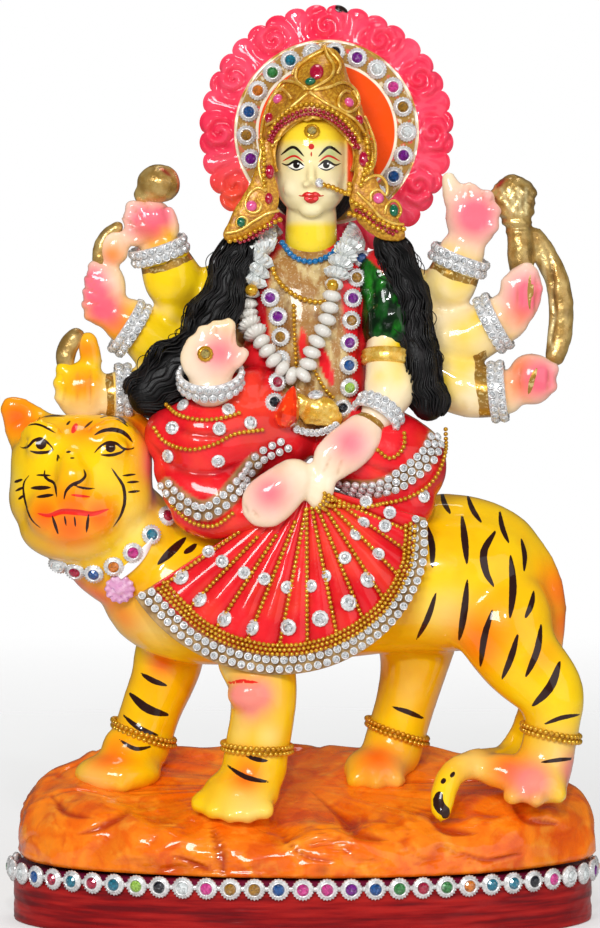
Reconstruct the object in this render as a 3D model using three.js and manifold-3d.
// A painted plaster idol of the goddess Durga riding her tiger, about 330 mm tall, on an oval plinth.
// The plinth, the rock, the tiger, the goddess and her halo are one casting. What is glued or tied
// on is a set of separate pieces: crown, hair, garlands, bangles, bead chains, stone laces.
// Millimetres, +Z up, the viewer looks along +Y, and the origin is the middle of the plinth's underside.
import * as THREE from "three";
import { mergeVertices } from "three/addons/utils/BufferGeometryUtils.js";
import Module from "manifold-3d";

const wasm = await Module();
wasm.setup();

// Driving dimensions
const PLINTH_LENGTH = 213;
const PLINTH_DEPTH = 104;
const PLINTH_HEIGHT = 21;
const PLINTH_BEVEL = 2.5;
const ROCK_MARGIN = 4; // the rock's foot stands in from the plinth's edge by this much
const ROCK_HEIGHT = 29; // height of the rock's middle above the plinth
const ROCK_SLOPE = 0.26; // the rock rises towards the back
const FIGURE_HEIGHT = 281; // rock to halo top
const CLEARANCE = 0.3; // gap between a glued-on piece and what it is glued to
const CHAIN_RADIUS = 0.8; // gold ball chain
const ANKLET_RADIUS = 1.5; // a doubled ball chain
const LACE_HALF_WIDTH = 3.6; // rhinestone lace, two stones wide
const LACE_THICKNESS = 2.2;
const STONE_PITCH = 8.5; // set stones on the plinth band
const STONE_RADIUS = 3.7;
const STONE_HEIGHT = 2.2;
const BAND_HEIGHT = 3.4; // the ribbon that the plinth's stones are sewn to
const BAND_THICKNESS = 0.9;
const BAND_DROP = 4.6; // centre of the band below the plinth's top
const BANGLE_WIDTH = 7;
const BANGLE_THICKNESS = 2.4;
const HALO_RADIUS = 45.4; // to the middle of the scallops
const HALO_THICKNESS = 7;
const HALO_SCALLOPS = 36;
const HALO_PETALS = 12;
const HALO_SCALLOP_DEPTH = 1.6;
const HALO_PETAL_RELIEF = 1.6;
const HALO_DISC_RADIUS = 32.6; // the raised disc that carries the stone trim
const HALO_DISC_RISE = 3;
const HALO_STONES = 16;
const PLEATS = 15; // radiating pleats of the skirt's fan
const PLEAT_DEPTH = 1.1;
const PLEAT_CHAINS = 12;

// The figure's forms are shares of its height. They are written for a figure that stands at 50
// and is 281 tall, and `figure` carries a point of that drawing over to the part.
const DRAWN_FOOT = 50;
const DRAWN_HEIGHT = 281;
const SHARE = FIGURE_HEIGHT / DRAWN_HEIGHT;
const figure = (x, y, z) =>
  new THREE.Vector3(x * SHARE, y * SHARE, (z - DRAWN_FOOT) * SHARE + PLINTH_HEIGHT + ROCK_HEIGHT);

// Solids

// A closed geometry as a manifold solid, turned right side out.
function solid(geometry) {
  const bare = geometry.clone();
  bare.deleteAttribute("normal");
  bare.deleteAttribute("uv");
  const merged = mergeVertices(bare, 1e-3);
  const triVerts = new Uint32Array(merged.index.array);
  const vertProperties = merged.attributes.position.array;
  const made = new wasm.Manifold(new wasm.Mesh({ numProp: 3, vertProperties, triVerts }));
  if (made.volume() >= 0) return made;
  for (let i = 0; i < triVerts.length; i += 3)
    [triVerts[i + 1], triVerts[i + 2]] = [triVerts[i + 2], triVerts[i + 1]];
  return new wasm.Manifold(new wasm.Mesh({ numProp: 3, vertProperties, triVerts }));
}

const joined = (solids) => solids.reduce((all, next) => all.add(next));

// A manifold solid's largest body as a three.js geometry.
function geometryOf(made) {
  const bodies = made.decompose();
  const body = bodies.reduce((a, b) => (b.volume() > a.volume() ? b : a));
  const mesh = body.getMesh();
  const position = new Float32Array(mesh.numVert * 3);
  for (let i = 0; i < mesh.numVert; i++)
    position.set(mesh.vertProperties.subarray(i * mesh.numProp, i * mesh.numProp + 3), i * 3);
  return new THREE.BufferGeometry()
    .setAttribute("position", new THREE.BufferAttribute(position, 3))
    .setIndex(new THREE.BufferAttribute(new Uint32Array(mesh.triVerts), 1));
}

// A sphere whose rings are laid along a path. Each station is [x, y, z, a, b]: a is the half width
// in the picture plane and b the half depth. The ends are round. wave(angle, along) shares the radius,
// and a gap under 1 makes beads: every other ring has that share of the width.
function limb(stations, options = {}) {
  const { sides = 8, rows = 6, grow = 0, wave = null, placed = false, ends = [55], gap = 1 } = options;
  const share = placed ? 1 : SHARE;
  const centres = stations.map(([x, y, z]) => (placed ? new THREE.Vector3(x, y, z) : figure(x, y, z)));
  const path = new THREE.CatmullRomCurve3(centres);
  const widths = new THREE.CatmullRomCurve3(
    stations.map(([, , , a, b]) => new THREE.Vector3(a * share + grow, b * share + grow, 0)),
    false,
    "catmullrom",
    0.5,
  );
  const length = path.getLength();
  const first = stations[0][3] * share;
  const last = stations[stations.length - 1][3] * share;
  const rings = [];
  for (const turn of ends) {
    const angle = THREE.MathUtils.degToRad(turn);
    rings.push([(first * (1 - Math.cos(angle))) / length, Math.sin(angle)]);
  }
  const start = Math.min(0.4, first / length);
  const stop = Math.max(0.6, 1 - last / length);
  for (let i = 0; i <= rows; i++) rings.push([start + ((stop - start) * i) / rows, i % 2 ? gap : 1]);
  for (const turn of ends) {
    const angle = THREE.MathUtils.degToRad(turn);
    rings.push([1 - (last * (1 - Math.cos(angle))) / length, Math.sin(angle)]);
  }
  rings.sort((p, q) => p[0] - q[0]);
  const geometry = new THREE.SphereGeometry(1, sides, rings.length + 1);
  const position = geometry.attributes.position;
  const depth = new THREE.Vector3(0, 1, 0);
  for (let row = 0; row <= rings.length + 1; row++) {
    const pole = row === 0 || row === rings.length + 1;
    const along = row === 0 ? 0 : row > rings.length ? 1 : rings[row - 1][0];
    const swell = pole ? 0 : rings[row - 1][1];
    const t = path.getUtoTmapping(along);
    const centre = path.getPoint(t);
    const tangent = path.getTangent(Math.min(0.999, Math.max(0.001, t)));
    const across = depth.clone().addScaledVector(tangent, -tangent.y).normalize();
    const beside = new THREE.Vector3().crossVectors(tangent, across);
    if (pole) centre.addScaledVector(tangent, row === 0 ? -grow : grow);
    const size = widths.getPoint(t);
    for (let column = 0; column <= sides; column++) {
      const angle = ((column % sides) / sides) * Math.PI * 2;
      const share2 = swell * (wave ? wave(angle, along) : 1);
      const point = centre
        .clone()
        .addScaledVector(beside, Math.cos(angle) * size.x * share2)
        .addScaledVector(across, Math.sin(angle) * size.y * share2);
      position.setXYZ(row * (sides + 1) + column, point.x, point.y, point.z);
    }
  }
  return solid(geometry);
}

// An ellipsoid at [x, y, z] with half sizes [a, b, c], turned in the picture plane by tilt degrees.
function ball([x, y, z], [a, b, c], { sides = 10, rows = 7, tilt = 0, grow = 0 } = {}) {
  const geometry = new THREE.SphereGeometry(1, sides, rows).rotateX(Math.PI / 2);
  geometry.scale(a * SHARE + grow, b * SHARE + grow, c * SHARE + grow);
  geometry.rotateY(THREE.MathUtils.degToRad(tilt));
  const centre = figure(x, y, z);
  return solid(geometry.translate(centre.x, centre.y, centre.z));
}

// A thin closed sheet: at(u, v, back) gives its front (back = 0) and rear (back = 1) points.
function sheet(columns, rows, at) {
  const geometry = new THREE.BoxGeometry(1, 1, 1, columns, rows, 1);
  const position = geometry.attributes.position;
  for (let i = 0; i < position.count; i++) {
    const point = at(position.getX(i) + 0.5, position.getY(i) + 0.5, position.getZ(i) > 0 ? 0 : 1);
    position.setXYZ(i, point.x, point.y, point.z);
  }
  return solid(geometry);
}

// The casting's forms

function plinth(grow) {
  const profile = [
    new THREE.Vector2(0, -grow),
    new THREE.Vector2(1, -grow),
    new THREE.Vector2(1, PLINTH_HEIGHT - PLINTH_BEVEL),
    new THREE.Vector2(1 - (2 * PLINTH_BEVEL) / PLINTH_DEPTH, PLINTH_HEIGHT + grow),
    new THREE.Vector2(0, PLINTH_HEIGHT + grow),
  ];
  const geometry = new THREE.LatheGeometry(profile, 48).rotateX(Math.PI / 2).rotateX(Math.PI);
  geometry.scale(PLINTH_LENGTH / 2 + grow, PLINTH_DEPTH / 2 + grow, -1);
  return solid(geometry);
}

// Lumps of the rock as a few waves of different length.
const lumps = (x, y) =>
  1.1 * Math.sin(x / 9 + 1) * Math.cos(y / 8) +
  0.9 * Math.sin(x / 17 - y / 11 + 2) +
  0.5 * Math.sin(x / 5 + y / 6);

function rock(grow) {
  const geometry = new THREE.SphereGeometry(1, 30, 7).rotateX(Math.PI / 2);
  const position = geometry.attributes.position;
  const length = PLINTH_LENGTH / 2 - ROCK_MARGIN;
  const depth = PLINTH_DEPTH / 2 - ROCK_MARGIN;
  for (let i = 0; i < position.count; i++) {
    const turn = Math.atan2(position.getY(i), position.getX(i));
    const rise = position.getZ(i);
    const out = Math.hypot(position.getX(i), position.getY(i));
    // The lower half is a short foot inside the plinth, the upper half a slab with a round shoulder.
    const reach = rise < 0 ? out : Math.pow(out, 0.42);
    const bulge = 1 + 0.025 * Math.sin(5 * turn + 1) * out;
    const x = Math.cos(turn) * reach * (length * bulge + grow);
    const y = Math.sin(turn) * reach * (depth * bulge + grow);
    const top = ROCK_HEIGHT + ROCK_SLOPE * y + lumps(x, y) * Math.min(1, rise * 2) + grow;
    const z = rise < 0 ? PLINTH_HEIGHT + rise * PLINTH_BEVEL * 2 : PLINTH_HEIGHT + Math.pow(rise, 0.55) * top;
    position.setXYZ(i, x, y, z);
  }
  return solid(geometry);
}

function paw([x, y, z], [a, b, c], toes, grow) {
  return [
    ball([x, y, z], [a, b, c], { sides: 8, rows: 5, grow }),
    ...toes.map(([tx, ty, tz]) => ball([tx, ty, tz], [5.4, 6.4, 5], { sides: 6, rows: 3, grow })),
  ];
}

const NEAR_FRONT_TOES = [[-37, -29, 46], [-31, -35, 44], [-22.5, -38, 43.5], [-14, -37, 44.5]];
const FAR_FRONT_TOES = [[-80, 5, 52], [-75.5, -1, 51], [-67.5, -4, 50.5]];
const NEAR_HIND_TOES = [[75, -32, 49], [83.5, -34, 48.5], [91.5, -31, 49.5]];
const FAR_HIND_TOES = [[19.5, 2, 50], [27.5, -1, 49.5], [35, 1, 50]];

function tiger(grow) {
  const leg = (stations) => limb(stations, { sides: 7, rows: 4, grow });
  return [
    limb(
      [
        [-66, -2, 136, 19, 19],
        [-46, 1, 121, 26, 24],
        [-18, 3, 118.5, 26.5, 26],
        [11, 3, 119.5, 25.5, 26],
        [40, 2, 123, 26, 26],
        [62, 0, 122.5, 26, 24],
        [86, -1, 114, 19, 17],
      ],
      { sides: 12, rows: 7, grow },
    ),
    limb(
      [
        [-78, -10, 158, 20, 19],
        [-66, -5, 139, 22, 21],
        [-48, 0, 120, 22, 21],
      ],
      { sides: 12, rows: 4, grow },
    ),
    ball([-77, -14, 160.5], [27, 24, 27], { sides: 12, rows: 8, grow }),
    ball([-81, -31, 148], [15, 10, 12], { sides: 9, rows: 6, grow }),
    ball([-80.5, -36, 155], [7, 7, 9], { sides: 7, rows: 5, grow }),
    ball([-95, -9, 180], [11, 5, 10], { sides: 7, rows: 5, tilt: 35, grow }),
    ball([-57, -6, 177], [9, 5, 10], { sides: 7, rows: 5, tilt: -30, grow }),
    leg([
      [-22, -16, 108, 16, 13],
      [-13.5, -21, 89, 12.5, 12],
      [-13.5, -22, 75, 11.6, 11.4],
      [-15.5, -22, 64, 11.6, 11.4],
      [-17, -23, 46, 12, 12],
    ]),
    leg([
      [-46, 14, 106, 16, 13],
      [-49, 17, 88, 12.4, 11],
      [-54, 17, 75, 11.2, 11],
      [-57.5, 16, 64, 11.2, 11],
      [-61, 14, 50, 12, 12],
    ]),
    leg([
      [66, -8, 125, 22, 15],
      [76, -12, 112, 22, 16],
      [83, -16, 98, 18, 15],
      [89.5, -20, 84, 12.5, 12],
      [90, -20, 73, 10, 10],
      [88, -20, 62, 10, 10],
      [86, -21, 48, 11, 11],
    ]),
    leg([
      [44, 13, 115, 22, 15],
      [43, 16, 90, 14, 12.5],
      [39.5, 17, 75, 12, 11.5],
      [36, 17, 64, 12, 11.5],
      [31.5, 15, 48, 12, 12],
    ]),
    ...paw([-21, -25, 49], [14, 14, 9.5], NEAR_FRONT_TOES, grow),
    ...paw([-66, 9, 55], [16, 13, 9], FAR_FRONT_TOES, grow),
    ...paw([84, -24, 53], [12, 12, 8.5], NEAR_HIND_TOES, grow),
    ...paw([27.5, 9, 53], [12, 13, 8.5], FAR_HIND_TOES, grow),
    limb(
      [
        [64, 6, 140, 5.5, 5],
        [78, 10, 141.5, 5.5, 5.5],
        [88, 12, 133, 6, 6],
        [93, 12, 120, 6.4, 6],
        [94, 12, 106, 6, 6],
        [96, 11, 94, 5.6, 5.6],
        [100, 6, 80, 5, 5],
        [102.5, 0, 66, 5, 5],
        [99, -8, 56, 5, 5],
        [87, -14, 55.5, 5.2, 5],
        [71, -22, 56.5, 5.4, 5],
        [60, -27, 57, 5.2, 5],
        [52.5, -31.5, 54.5, 5, 5],
        [50, -35, 48, 4.6, 4.6],
        [49.5, -37.5, 40, 3, 3.4],
      ],
      { sides: 5, rows: 14, grow },
    ),
  ];
}

// The skirt's fan: pleats spread from the waist over the tiger's flank. Turn 0 is its left edge.
const FAN_APEX = [3, 159];
const FAN_FROM = 208; // degrees, counted from the viewer's right through the top
const FAN_TO = 344;
const fanReach = (turn) => 73 - 30 * Math.pow(turn, 1.7); // mm from the apex to the hem
function fanPoint(turn, out) {
  const angle = THREE.MathUtils.degToRad(FAN_FROM + (FAN_TO - FAN_FROM) * turn);
  const radius = fanReach(turn) * out;
  return [FAN_APEX[0] + Math.cos(angle) * radius, FAN_APEX[1] + Math.sin(angle) * radius];
}
function fanFront(turn, out) {
  const sag = Math.sin(Math.PI * Math.min(1, turn * 1.15));
  return -28 - 6.5 * sag * Math.min(1, out * 1.4);
}
function fan(grow) {
  return sheet(PLEATS * 2, 2, (u, v, back) => {
    const out = 0.06 + 0.94 * v;
    const [x, z] = fanPoint(u, out + (grow / 60) * (v > 0.5 ? 1 : 0));
    const ridge = Math.cos(u * PLEATS * 2 * Math.PI) * PLEAT_DEPTH * out;
    const y = back ? -10 : fanFront(u, out) + ridge - grow;
    return figure(x, y, z);
  });
}

function goddess(grow) {
  const arm = (stations) => limb(stations, { sides: 6, rows: 3, grow });
  const hand = (at, size, tilt) => ball(at, size, { sides: 7, rows: 4, tilt, grow });
  const finger = (stations) => limb(stations, { sides: 4, rows: 1, grow });
  return [
    limb(
      [
        [4, 0, 248, 10, 9],
        [4, 0, 239, 22, 11],
        [4, -2, 226, 25, 13],
        [5, -4, 210, 20, 14],
        [6, -4, 194, 18, 14],
        [5, -3, 172, 28, 17],
      ],
      { sides: 12, rows: 6, grow },
    ),
    arm([
      [4, -2, 236, 10, 9],
      [4, -3, 250, 9.2, 8.6],
      [4, -3, 264, 9, 9],
    ]),
    ball([4, -5, 272], [13.2, 14.5, 18.6], { sides: 12, rows: 8, grow }),
    ball([5, 6, 270], [17, 11, 20], { sides: 8, rows: 6, grow }),
    // folded right leg, its shin and foot
    limb(
      [
        [6, -4, 178, 17, 17],
        [-18, -13, 177, 18, 16],
        [-35, -19, 174, 18, 14.5],
        [-49, -18, 171, 12, 11],
      ],
      { sides: 12, rows: 5, grow },
    ),
    limb(
      [
        [-46, -19, 164, 11, 10],
        [-34, -25, 155, 11, 8.5],
        [-19, -27, 153, 9, 8],
      ],
      { sides: 10, rows: 4, grow },
    ),
    limb(
      [
        [3, -28, 166, 6, 5],
        [-6, -32, 158, 9, 5.6],
        [-13, -33, 152, 9.4, 5],
        [-20, -32.5, 146.5, 6, 4],
      ],
      { sides: 8, rows: 4, grow },
    ),
    // left thigh, with the drape at its side
    limb(
      [
        [6, -4, 176, 17, 17],
        [26, -11, 170, 17.5, 16],
        [40, -13, 163, 16, 13.5],
        [50, -10, 157, 9.5, 10],
      ],
      { sides: 12, rows: 5, grow },
    ),
    limb(
      [
        [26, -16, 160, 15, 11],
        [38, -15, 152, 12, 11],
        [45, -12, 146, 7, 9],
      ],
      { sides: 8, rows: 3, grow },
    ),
    ball([8, -29, 158], [6.5, 4.5, 9], { sides: 8, rows: 6, tilt: 15, grow }),
    // three raised right arms
    arm([
      [-20, 4, 232, 11, 10],
      [-33, 3, 223, 11, 10],
      [-41, 2, 222, 9.5, 9],
    ]),
    arm([
      [-40, 2, 222, 9.5, 9],
      [-47, 0, 233, 9.2, 8.6],
      [-52, -2, 247, 7.6, 7],
    ]),
    arm([
      [-20, 4, 222, 11, 10],
      [-36, 3, 209, 12, 10],
      [-51, 0, 209, 10.4, 9.5],
      [-62, -2, 214, 8.4, 8],
      [-68, -3, 218, 7.4, 7],
    ]),
    arm([
      [-24, 4, 208, 12, 10],
      [-42, 1, 197, 11, 9.5],
      [-56, -3, 191, 9, 8.4],
      [-70, -5, 190, 7.4, 7],
    ]),
    hand([-54, -3, 252.5], [10.4, 6.4, 9], -18),
    hand([-72, -4, 226], [8.4, 6, 11.5], 12),
    hand([-78, -6, 192], [10.5, 7.5, 10.5], 0),
    finger([
      [-60, -4, 247, 3.6, 3.4],
      [-64, -5, 243, 4.6, 4],
      [-67, -5, 237, 4.2, 4],
      [-71, -5, 231, 3.4, 3.2],
    ]),
    finger([[-80, -5, 198, 4, 3.6], [-76, -5, 206, 4, 3.8], [-75, -5, 215, 3.6, 3.4]]),
    ball([-51, -3, 265.4], [7.8, 7, 6.8], { sides: 10, rows: 7, grow }),
    finger([[-73, -6, 232, 3, 3], [-74, -6, 240, 3.4, 3.2], [-69.5, -5, 247, 3, 3], [-63, -4, 249, 2.6, 2.6]]),
    finger([[-83, -6, 196, 3, 3], [-86.5, -6, 204, 4, 3.6], [-80, -6, 212, 3, 3]]),
    // blessing hand
    arm([
      [-12, -15, 191, 9, 8],
      [-22, -22, 190, 8.6, 7.6],
      [-31, -26, 190.5, 7.6, 6.8],
    ]),
    arm([
      [-31, -26, 185, 7.4, 6.4],
      [-31.2, -26.5, 193, 7.2, 6.2],
      [-31.4, -27, 201, 7, 5.6],
    ]),
    hand([-31, -28, 205], [10.6, 5.6, 13], 16),
    finger([[-24, -29, 203, 4, 3.4], [-18.5, -30, 205, 3.2, 3], [-15.6, -30, 207.5, 2, 2]]),
    // three raised left arms
    arm([
      [28, 4, 232, 11, 10],
      [40, 3, 225, 10.6, 10],
      [50, 2, 220, 9.5, 9],
    ]),
    arm([
      [49, 2, 222, 9.5, 9],
      [54.5, 0, 231, 9.4, 8.6],
      [60.5, -2, 250, 7.6, 6.6],
    ]),
    arm([
      [30, 4, 222, 11, 10],
      [48, 3, 210, 12, 10],
      [61, 0, 211, 10.5, 9.5],
      [70, -2, 215.5, 8.8, 8],
      [76, -3, 220, 7.6, 7],
    ]),
    arm([
      [32, 4, 208, 12, 10],
      [50, 1, 197, 11.5, 10],
      [62, -2, 191.5, 10, 9],
      [72, -4, 191, 8.6, 8],
      [80, -5, 193, 7.6, 7],
    ]),
    hand([62.5, -3, 254.6], [9.6, 6.4, 12], -8),
    finger([[56, -3, 262, 3.4, 3.4], [54, -3, 268, 2.6, 2.6], [53, -3, 271, 1.8, 1.8]]),
    hand([79, -4, 225], [8.2, 6.2, 12.4], 12),
    hand([83.5, -6, 196], [9.6, 7.4, 10.2], 0),
    // mace head and shaft, and the curved blade, held across the raised hands
    limb(
      [
        [75.5, 4, 270, 4, 4],
        [76.5, 4, 261, 8, 6.5],
        [78.5, 3, 251, 6.6, 6],
        [80, 2, 241, 4.4, 4.4],
        [80.5, 1, 231, 3.6, 3.6],
      ],
      { sides: 7, rows: 5, grow },
    ),
    limb(
      [
        [84, 5, 249, 2.6, 3],
        [88.5, 5, 240, 3.8, 3.4],
        [92, 4, 226, 4.8, 3.6],
        [92, 3, 213, 4.8, 3.6],
        [89.5, 1, 203, 4, 3.4],
        [88, 0, 197, 2.4, 3],
      ],
      { sides: 6, rows: 7, grow },
    ),
    // left arm with its sleeve, and the hand at the knee
    arm([
      [26, -2, 239, 9, 9],
      [31, -6, 229, 10, 9.4],
      [33, -9, 214, 10.6, 10],
      [33.5, -12, 201, 9.8, 9],
      [30, -18, 189, 8, 7.4],
      [25, -23, 180, 6.6, 5.6],
    ]),
    limb(
      [
        [27, -22, 182, 6.4, 5.4],
        [17, -27, 172, 9.2, 5],
        [9, -29.5, 166, 7, 4],
        [4, -30, 164, 4.4, 3.2],
      ],
      { sides: 8, rows: 4, grow },
    ),
  ];
}

const HALO_CENTRE = [9.6, 18, 284];
function halo(grow) {
  const turns = HALO_SCALLOPS * 3;
  const profile = [
    new THREE.Vector2(0, 1),
    new THREE.Vector2(HALO_DISC_RADIUS * SHARE + grow, 1),
    new THREE.Vector2(HALO_RADIUS * SHARE + grow, 0.25),
    new THREE.Vector2(HALO_RADIUS * SHARE + grow, -1),
    new THREE.Vector2(0, -1),
  ];
  const geometry = new THREE.LatheGeometry(profile, turns);
  const position = geometry.attributes.position;
  const centre = figure(...HALO_CENTRE);
  for (let i = 0; i < position.count; i++) {
    const level = position.getY(i);
    const turn = Math.atan2(position.getX(i), position.getZ(i));
    const out = Math.hypot(position.getX(i), position.getZ(i));
    const edge = out > HALO_RADIUS * SHARE * 0.95;
    const petal = out > HALO_DISC_RADIUS * SHARE + 2;
    const reach = out - (edge ? HALO_SCALLOP_DEPTH * SHARE * Math.cos(turn * HALO_SCALLOPS) : 0);
    const relief = petal && level > 0 ? HALO_PETAL_RELIEF * (1 + Math.cos(turn * HALO_PETALS)) : 0;
    const disc = level === 1 ? HALO_DISC_RISE : 0;
    const y = -level * (HALO_THICKNESS / 2 + grow) - relief - disc;
    const x = centre.x + Math.sin(turn) * reach;
    const z = centre.z + Math.cos(turn) * reach;
    position.setXYZ(i, x, centre.y + y, z);
  }
  return solid(geometry);
}

const figures = (grow) => [...tiger(grow), fan(grow), ...goddess(grow)];
const casting = (grow) => joined([plinth(grow), rock(grow), ...figures(grow), halo(grow)]);

const plaster = casting(0);
const clearOfPlaster = casting(CLEARANCE);

// Glued-on pieces

// What lies so far under the next piece, and the same as a mesh that rays can be dropped on.
let ground = clearOfPlaster;
let groundMesh = null;
function lieOn(...solids) {
  ground = joined([ground, ...solids]);
  groundMesh = new THREE.Mesh(geometryOf(ground), new THREE.MeshBasicMaterial({ side: THREE.DoubleSide }));
}
lieOn();

const FROM_VIEWER = new THREE.Vector3(0, 1, 0);
// The first point met on a line from the viewer through (x, z) of the figure, and the normal there.
function touch(x, z) {
  const from = figure(x, -300, z);
  const [hit] = new THREE.Raycaster(from, FROM_VIEWER).intersectObject(groundMesh);
  if (!hit) return null;
  const normal = hit.face.normal.clone();
  if (normal.y > 0) normal.negate();
  return { point: hit.point, normal };
}

const curveThrough = (pairs) => new THREE.CatmullRomCurve3(pairs.map(([x, z]) => new THREE.Vector3(x, 0, z)));

// Where a curve through [x, z] pairs lies on the ground, as evenly spaced points.
const laid = (pairs, count) =>
  curveThrough(pairs)
    .getSpacedPoints(count)
    .map((p) => touch(p.x, p.z))
    .filter((hit) => hit);

const pieces = [];
// Adds a piece. make(grow) gives its solid, which is cut clear of all that it lies on unless it fits already.
function add(name, material, make, fits = false) {
  const shape = fits ? make(0) : make(0).subtract(ground);
  const mesh = new THREE.Mesh(geometryOf(shape), material);
  mesh.name = name;
  pieces.push(mesh);
  lieOn(make(CLEARANCE));
}

// A cord, a string of beads or a flat lace, laid along a curve. over is how far it is held off by
// ridges that its points miss.
function addCord(name, material, pairs, { count, halfWidth, halfDepth, sides = 5, gap = 1, over = 0 }) {
  const lift = halfDepth + CLEARANCE + over;
  const stations = laid(pairs, Math.min(count, 24)).map(({ point, normal }) => {
    const raised = point.clone().addScaledVector(normal, lift);
    return [raised.x, Math.min(raised.y, point.y - lift), raised.z, halfWidth, halfDepth];
  });
  add(name, material, (grow) => limb(stations, { sides, rows: count, placed: true, grow, gap }));
}

// A ring closed around a limb: a short cylinder across it, which the limb is then cut out of.
function addBangle(name, material, [x, y, z], along, radius, width = BANGLE_WIDTH) {
  const centre = figure(x, y, z);
  const axis = new THREE.Vector3(...along).normalize();
  add(name, material, (grow) => {
    const outer = radius * SHARE + BANGLE_THICKNESS + grow;
    const geometry = new THREE.CylinderGeometry(outer, outer, width + grow * 2, 10);
    geometry.applyQuaternion(new THREE.Quaternion().setFromUnitVectors(new THREE.Vector3(0, 1, 0), axis));
    return solid(geometry.translate(centre.x, centre.y, centre.z));
  });
}

const paint = (color, roughness, metalness = 0) =>
  new THREE.MeshStandardMaterial({ color, roughness, metalness });
const YELLOW_PAINT = paint(0xf2b21c, 0.25);
const BLACK_HAIR = paint(0x0c0b0c, 0.6);
const GOLD_BEAD = paint(0xc4891f, 0.3, 0.9);
const SILVER_STONE = paint(0xd8d8da, 0.2, 0.6);
const RED_STONE = paint(0x9c1020, 0.15);
const ZARI_GOLD = paint(0xa8741a, 0.45, 0.7);
const PEARL_WHITE = paint(0xdcd8cf, 0.35);
const BLUE_BEAD = paint(0x1c6f9e, 0.2);
const ORANGE_GLASS = paint(0xe0430e, 0.1);
const PINK_LACQUER = paint(0xd68ab8, 0.4);

// Hair: two braids that hang from behind the ears to the shoulders.
const RIGHT_BRAID = [
  [-20, -11, 250, 5, 5],
  [-27, -13, 235, 9, 6.5],
  [-33, -15, 218, 9.5, 7],
  [-42, -16, 203, 10, 7],
  [-52, -17, 192, 10.5, 7],
  [-59, -17, 184, 7, 6],
];
const LEFT_BRAID = [
  [30, -11, 248, 5, 5],
  [38, -12, 235, 8, 6.5],
  [42.5, -13, 219, 8, 6.5],
  [45, -15, 204, 7.5, 6],
  [48, -15, 192, 7.5, 6],
  [50, -15, 181, 7, 6],
];
const LOCKS = 34; // turns of the braid's waves along its length
const locks = (angle, along) => 1 + 0.09 * Math.sin(along * LOCKS + angle);
const braid = (stations) => (grow) => limb(stations, { sides: 7, rows: 9, grow, wave: locks });
add("hair_braid_right", BLACK_HAIR, braid(RIGHT_BRAID));
add("hair_braid_left", BLACK_HAIR, braid(LEFT_BRAID));

// Crown: a pointed arch around the face, from the brow to its finial, domed back over the head.
const CROWN_CENTRE = [5, 275];
const CROWN_BROW = 14.5; // radius of the arch over the face
const CROWN_TEMPLE = 19.5; // outer radius at the temples
const CROWN_DOME = 10; // how much further out the top is
const CROWN_FINIAL = 9.5; // and its point above that
const CROWN_FRONT = -17.5; // depth of the brow edge
const CROWN_LEAN = 15; // how far back the outer edge lies from it
const CROWN_BACK = 8;
const CROWN_FROM = -22; // degrees, counted from the viewer's right through the top
const CROWN_SWEEP = 224;
const crownEdge = (rise) =>
  CROWN_TEMPLE + CROWN_DOME * rise * rise + CROWN_FINIAL * Math.pow(Math.max(0, rise), 24);
function crown(grow) {
  return sheet(16, 2, (u, v, back) => {
    const angle = THREE.MathUtils.degToRad(CROWN_FROM + CROWN_SWEEP * u);
    const outer = crownEdge(Math.sin(angle));
    const radius = CROWN_BROW - grow + (outer - CROWN_BROW + grow * 2) * v;
    const lean = 0.1 * Math.max(0, Math.sin(angle)) * radius;
    const y = back ? CROWN_BACK : CROWN_FRONT + CROWN_LEAN * v * v - grow;
    const x = CROWN_CENTRE[0] + lean + Math.cos(angle) * radius;
    return figure(x, y, CROWN_CENTRE[1] + Math.sin(angle) * radius);
  });
}
add("crown", ZARI_GOLD, crown);

// Crown wings: curled plates that stand out below the ears.
const wing = (side) => (grow) =>
  limb(
    [
      [5 + side * 16.5, -17, 281, 1.6, 1.4],
      [5 + side * 17.5, -18, 270, 3.4, 1.6],
      [5 + side * 19, -18.5, 259, 6.4, 1.6],
      [5 + side * 25, -18.5, 251, 5.6, 1.6],
      [5 + side * 32, -18, 246, 1.6, 1.4],
    ],
    { sides: 6, rows: 6, grow },
  );
add("crown_wing_right", ZARI_GOLD, wing(-1));
add("crown_wing_left", ZARI_GOLD, wing(1));

// A closed band of set stones: every other column of the band is a stone, wide and raised.
// at(turn) gives the band's centre, the way out of it and the way across it.
function stoneBand(stones, at, grow) {
  const columns = stones * 2;
  const profile = [0, 1, 2, 0].map((corner) => new THREE.Vector2(1, corner));
  const geometry = new THREE.LatheGeometry(profile, columns);
  const position = geometry.attributes.position;
  for (let i = 0; i < position.count; i++) {
    const column = Math.floor(i / 4) % columns;
    const set = column % 2 === 1;
    const halfWidth = (set ? STONE_RADIUS : BAND_HEIGHT / 2) + grow;
    const rise = (set ? STONE_HEIGHT : BAND_THICKNESS) + grow;
    const [centre, out, side] = at((column / columns) * Math.PI * 2);
    const corner = i % 4 % 3;
    const point = centre.clone();
    if (corner === 0) point.addScaledVector(side, -halfWidth);
    if (corner === 1) point.addScaledVector(out, rise);
    if (corner === 2) point.addScaledVector(side, halfWidth);
    position.setXYZ(i, point.x, point.y, point.z);
  }
  return solid(geometry);
}

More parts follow.
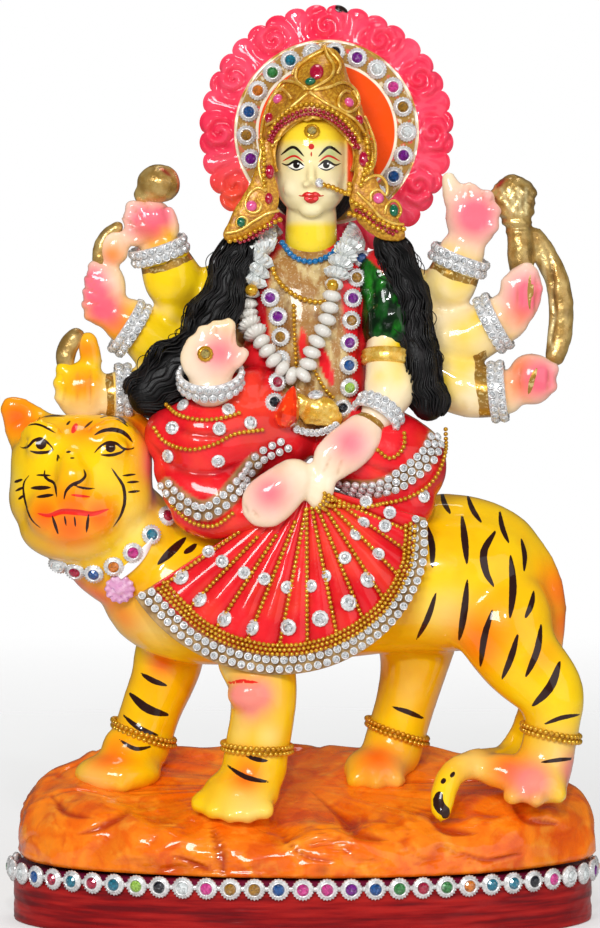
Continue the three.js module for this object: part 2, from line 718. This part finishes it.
// Halo stones: a ring of set stones, glued to the halo's disc.
const HALO_RING_RADIUS = HALO_DISC_RADIUS * 0.87;
const haloStones = (grow) => {
  const front = new THREE.Vector3(0, -1, 0);
  const lift = HALO_THICKNESS / 2 + HALO_DISC_RISE + CLEARANCE + 0.1;
  const middle = figure(...HALO_CENTRE).addScaledVector(front, lift);
  return stoneBand(
    HALO_STONES,
    (turn) => {
      const side = new THREE.Vector3(Math.sin(turn), 0, Math.cos(turn));
      return [middle.clone().addScaledVector(side, HALO_RING_RADIUS * SHARE), front, side];
    },
    grow,
  );
};
add("halo_stone_ring", SILVER_STONE, haloStones);

// Bangles, in the order of the hands, from the top down.
const WRISTS = {
  right_upper: [[-50.5, -1.5, 241.5], [-0.3, -0.15, 0.94], 8.8],
  right_middle: [[-61, -2, 213.6], [-0.84, -0.1, 0.54], 8.8],
  right_lower: [[-63.5, -4, 190.5], [-1, -0.1, 0], 8.6],
  left_upper: [[57, -1, 238], [0.36, -0.12, 0.93], 9],
  left_middle: [[69.5, -2, 215.5], [0.88, -0.12, 0.46], 9],
  left_lower: [[71, -4, 191], [1, -0.1, 0.1], 9],
  right_blessing: [[-31.3, -26, 195], [-0.1, -0.25, 1], 9],
  left_knee: [[28.4, -20.2, 185.6], [-0.5, -0.5, -0.85], 7.6],
};
for (const [name, [at, along, radius]] of Object.entries(WRISTS))
  addBangle(`bangle_${name}`, SILVER_STONE, at, along, radius);
addBangle("armlet_left", ZARI_GOLD, [32.6, -10.8, 206], [0.05, 0.25, 1], 10.4, BANGLE_WIDTH * 0.8);

// Neck: choker, necklace, the stone garland and the pearl garland over it.
const NECK = { count: 12, halfWidth: 1.4, halfDepth: 1.3, sides: 4, gap: 0.7 };
addCord("blue_bead_choker", BLUE_BEAD, [[-6, 243.5], [-2.1, 239], [4.3, 237.3], [11.5, 240.3]], NECK);
const NECKLACE = [[-8.6, 234.5], [-4.6, 227.6], [1.8, 224], [9, 223.5], [14, 229]];
addCord("gold_bead_necklace", GOLD_BEAD, NECKLACE, NECK);
const GARLAND_LEFT = [[-11, 232], [-9.9, 225], [-8.2, 218.4], [-6.6, 210.3], [-7.5, 202]];
const GARLAND_FOOT = [[-6, 195], [1, 191.5], [9, 191]];
const GARLAND_RIGHT = [[16.6, 195], [17.7, 204], [17.7, 213], [18.4, 225], [20.9, 237]];
addCord("stone_garland", SILVER_STONE, [...GARLAND_LEFT, ...GARLAND_FOOT, ...GARLAND_RIGHT], {
  count: 26,
  halfWidth: STONE_RADIUS,
  halfDepth: STONE_HEIGHT / 2,
  sides: 4,
  gap: 0.5,
});
const PEARLS_LEFT = [[-13, 241], [-16, 233], [-17.7, 225], [-16.6, 216], [-12, 206.4], [-7, 200.4]];
const PEARLS_RIGHT = [[-2, 198], [2.8, 201.5], [7.5, 210], [10.6, 219.5], [12.1, 230.6], [17.6, 242.5]];
addCord("pearl_garland", PEARL_WHITE, [...PEARLS_LEFT, ...PEARLS_RIGHT], {
  count: 34,
  halfWidth: 3.2,
  halfDepth: 1.8,
  sides: 4,
  gap: 0.55,
});

// Lap: the brooch and the hanging drop.
function addAt(name, material, x, z, lift, make) {
  const y = (touch(x, z).point.y - lift) / SHARE;
  add(name, material, (grow) => make(y, grow));
}
addAt("gold_brooch", ZARI_GOLD, 9, 188, 0.6, (y, grow) =>
  ball([9, y, 187.4], [8.4, 2.4, 5.6], { sides: 10, rows: 7, tilt: 12, grow }),
);
addAt("orange_drop_pendant", ORANGE_GLASS, -4.5, 184, 3, (y, grow) =>
  limb(
    [
      [-2, y + 1, 193.6, 1.2, 1.2],
      [-3.4, y, 188, 2.6, 2.6],
      [-4.8, y, 182.4, 4.2, 3.8],
      [-5.6, y, 179.6, 3.6, 3.4],
    ],
    { sides: 8, rows: 5, grow },
  ),
);

// Knee and thigh: bead chains, then the stone laces of the drapes.
const CHAIN = { count: 7, halfWidth: CHAIN_RADIUS, halfDepth: CHAIN_RADIUS, sides: 4 };
const LACE = { halfWidth: LACE_HALF_WIDTH, halfDepth: LACE_THICKNESS / 2, sides: 5, over: 0.3 };
const KNEE_UPPER = [[-47, 186.5], [-43.5, 184], [-35, 182], [-26.6, 182.8], [-20.7, 184.6]];
const KNEE_LOWER = [[-51, 179], [-48, 175], [-39, 172], [-30.5, 173.7], [-23, 177], [-13, 178.6]];
addCord("knee_chain_upper", GOLD_BEAD, KNEE_UPPER, CHAIN);
addCord("knee_chain_lower", GOLD_BEAD, KNEE_LOWER, CHAIN);
const KNEE_LACE_FOOT = [[-48, 160], [-43, 154.5], [-34.5, 150], [-27.4, 153.4]];
const KNEE_LACE = [...KNEE_LACE_FOOT, [-20.7, 161], [-14.4, 169], [-4, 174]];
addCord("knee_stone_lace", SILVER_STONE, KNEE_LACE, { ...LACE, count: 12 });
const THIGH_LACE = [[14.5, 157.6], [26.8, 157.6], [36, 161.4], [44.5, 168.4], [48.6, 176]];
addCord("thigh_stone_lace", SILVER_STONE, THIGH_LACE, { ...LACE, count: 9 });
addCord("thigh_chain", GOLD_BEAD, [[27, 171.6], [32, 168.4], [36.4, 172], [36.6, 178]], CHAIN);
addCord("thigh_hem_chain", GOLD_BEAD, [[12, 151.6], [24.4, 151.6], [38.5, 154.6], [47, 161]], CHAIN);

// The fan of the skirt: a chain on each pleat, then the hem's chains and its stone lace.
const hem = (out, from = 0.03, to = 0.97) =>
  [0, 0.17, 0.34, 0.5, 0.67, 0.84, 1].map((t) => fanPoint(from + (to - from) * t, out));
for (let i = 0; i < PLEAT_CHAINS; i++) {
  const turn = 0.04 + (0.9 * i) / (PLEAT_CHAINS - 1);
  const pairs = [0.3, 0.55, 0.82].map((out) => fanPoint(turn, out));
  addCord(`pleat_chain_${i + 1}`, GOLD_BEAD, pairs, { ...CHAIN, count: 3 });
}
const HEM = { count: 18, over: PLEAT_DEPTH };
addCord("hem_bead_chains", GOLD_BEAD, hem(0.87), { ...CHAIN, ...HEM, halfWidth: CHAIN_RADIUS * 2 });
addCord("hem_stone_lace", SILVER_STONE, hem(0.95), { ...LACE, ...HEM, halfWidth: LACE_HALF_WIDTH * 0.9 });

// The tiger's collar, its flower pendant and the anklets.
const COLLAR_FRONT = [[-85, 132], [-80.5, 130], [-72.7, 129.4], [-65.4, 132]];
const COLLAR = [...COLLAR_FRONT, [-59, 136.4], [-53, 142], [-48, 148]];
addCord("tiger_collar", RED_STONE, COLLAR, {
  count: 14,
  halfWidth: STONE_RADIUS,
  halfDepth: STONE_HEIGHT / 2,
  sides: 6,
  gap: 0.5,
});
const PETALS = 6;
addAt("collar_flower_pendant", PINK_LACQUER, -64, 122, 1.2, (y, grow) => {
  const geometry = new THREE.SphereGeometry(1, PETALS * 2, 4);
  const position = geometry.attributes.position;
  const centre = figure(-64, y, 122);
  for (let i = 0; i < position.count; i++) {
    const turn = Math.atan2(position.getZ(i), position.getX(i));
    const reach = (5.2 + 0.9 * Math.cos(turn * PETALS)) * SHARE + grow;
    const rise = position.getY(i) * (1.6 + grow);
    const x = centre.x + position.getX(i) * reach;
    const z = centre.z + position.getZ(i) * reach;
    position.setXYZ(i, x, centre.y - rise, z);
  }
  return solid(geometry);
});
const ANKLET = { count: 6, halfWidth: ANKLET_RADIUS * 1.6, halfDepth: ANKLET_RADIUS * 0.7, sides: 5 };
addCord("anklet_front_far", GOLD_BEAD, [[-67, 70], [-61.7, 66], [-54, 63.2], [-47.6, 62.4]], ANKLET);
addCord("anklet_front_near", GOLD_BEAD, [[-26, 67], [-21, 65], [-13.4, 64], [-5, 65.6]], ANKLET);
addCord("anklet_hind_far", GOLD_BEAD, [[25.5, 70], [31, 66.6], [39, 64], [46, 63]], ANKLET);
addCord("anklet_hind_near", GOLD_BEAD, [[79, 73], [84, 70], [91, 68.4], [97, 68.4]], ANKLET);

// The plinth's band: a ribbon around the rim with stones sewn to it.
const plinthBand = (grow) => {
  const length = PLINTH_LENGTH / 2 + CLEARANCE;
  const depth = PLINTH_DEPTH / 2 + CLEARANCE;
  const rim = new THREE.EllipseCurve(0, 0, length, depth);
  rim.arcLengthDivisions = 800;
  const stones = 2 * Math.round(rim.getLength() / STONE_PITCH / 2);
  const up = new THREE.Vector3(0, 0, 1);
  return stoneBand(
    stones,
    (turn) => {
      const { x, y } = rim.getPointAt(turn / (Math.PI * 2));
      const out = new THREE.Vector3(x / (length * length), y / (depth * depth), 0).normalize();
      return [new THREE.Vector3(x, y, PLINTH_HEIGHT - BAND_DROP), out, up];
    },
    grow,
  );
};
add("plinth_stone_band", SILVER_STONE, plinthBand, true);

const group = new THREE.Group();
const castingMesh = new THREE.Mesh(geometryOf(plaster), YELLOW_PAINT);
castingMesh.name = "plaster_casting";
group.add(castingMesh, ...pieces);
export default group;
